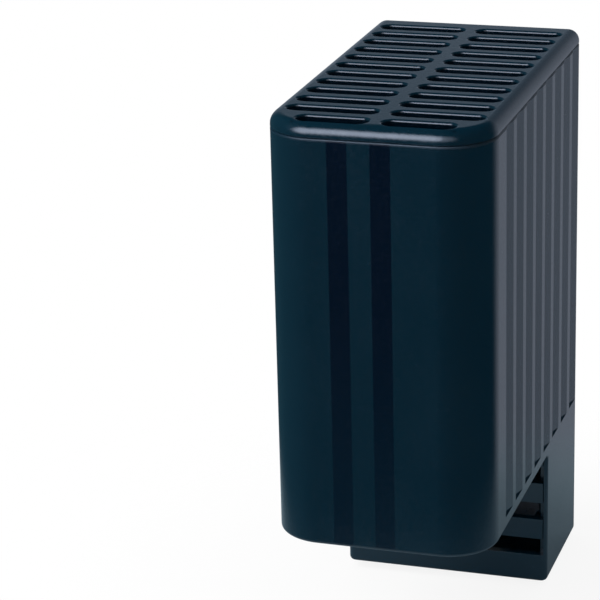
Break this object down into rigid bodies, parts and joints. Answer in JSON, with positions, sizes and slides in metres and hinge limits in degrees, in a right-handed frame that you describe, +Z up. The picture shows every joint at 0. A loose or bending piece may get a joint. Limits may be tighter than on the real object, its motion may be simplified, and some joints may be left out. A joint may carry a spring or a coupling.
{
  "type": "enclosure heater",
  "caption": "Upright rail-mounted enclosure heater: slotted top, rounded front, fluted sides and a louvred terminal box under the rear, round a finned heat sink with a ceramic element.",
  "frame": {"origin": "middle of the mounting rail's front face, where the clip seats on it", "axes": "+Z up, +X to the right seen from the front, +Y to the rear, towards the rail and the wall"},
  "size_m": [0.0608, 0.1211, 0.1598],
  "materials": {
    "housing_plastic": "satin moulded plastic, blue-black",
    "carrier_plastic": "glass-filled plastic, matt",
    "block_plastic": "moulded plastic, off-white",
    "frame_plastic": "heat-proof plastic, ivory",
    "sleeve_film": "amber film",
    "rubber": "black rubber",
    "silicone": "red-brown silicone",
    "lead_line": "brown silicone insulation",
    "lead_neutral": "blue silicone insulation",
    "clip_steel": "zinc-plated spring steel",
    "screw_steel": "zinc-plated steel",
    "sink_aluminium": "extruded, mill finish",
    "tablet_ceramic": "sintered ceramic, grey",
    "contact_brass": "rolled brass"
  },
  "bodies": {
    "root": {"housing_shell": "housing_plastic", "top_grille": "housing_plastic", "intake_grille": "housing_plastic", "terminal_box": "housing_plastic", "louvre_panel": "housing_plastic", "cable_grommet": "rubber", "rail_clip": "clip_steel", "grille_screws": "screw_steel", "box_screws": "screw_steel", "clip_screws": "screw_steel", "terminal_screws": "screw_steel", "block_screw": "screw_steel", "heat_sink": "sink_aluminium", "lower_carrier": "carrier_plastic", "upper_carrier": "carrier_plastic", "ceramic_tablets": "tablet_ceramic", "tablet_frame": "frame_plastic", "line_contact": "contact_brass", "neutral_contact": "contact_brass", "insulating_sleeve": "sleeve_film", "lower_plug": "silicone", "upper_plug": "silicone", "line_lead": "lead_line", "neutral_lead": "lead_neutral", "lead_bushes": "silicone", "terminal_block": "block_plastic", "terminal_clamps": "contact_brass"}
  },
  "joints": []
}
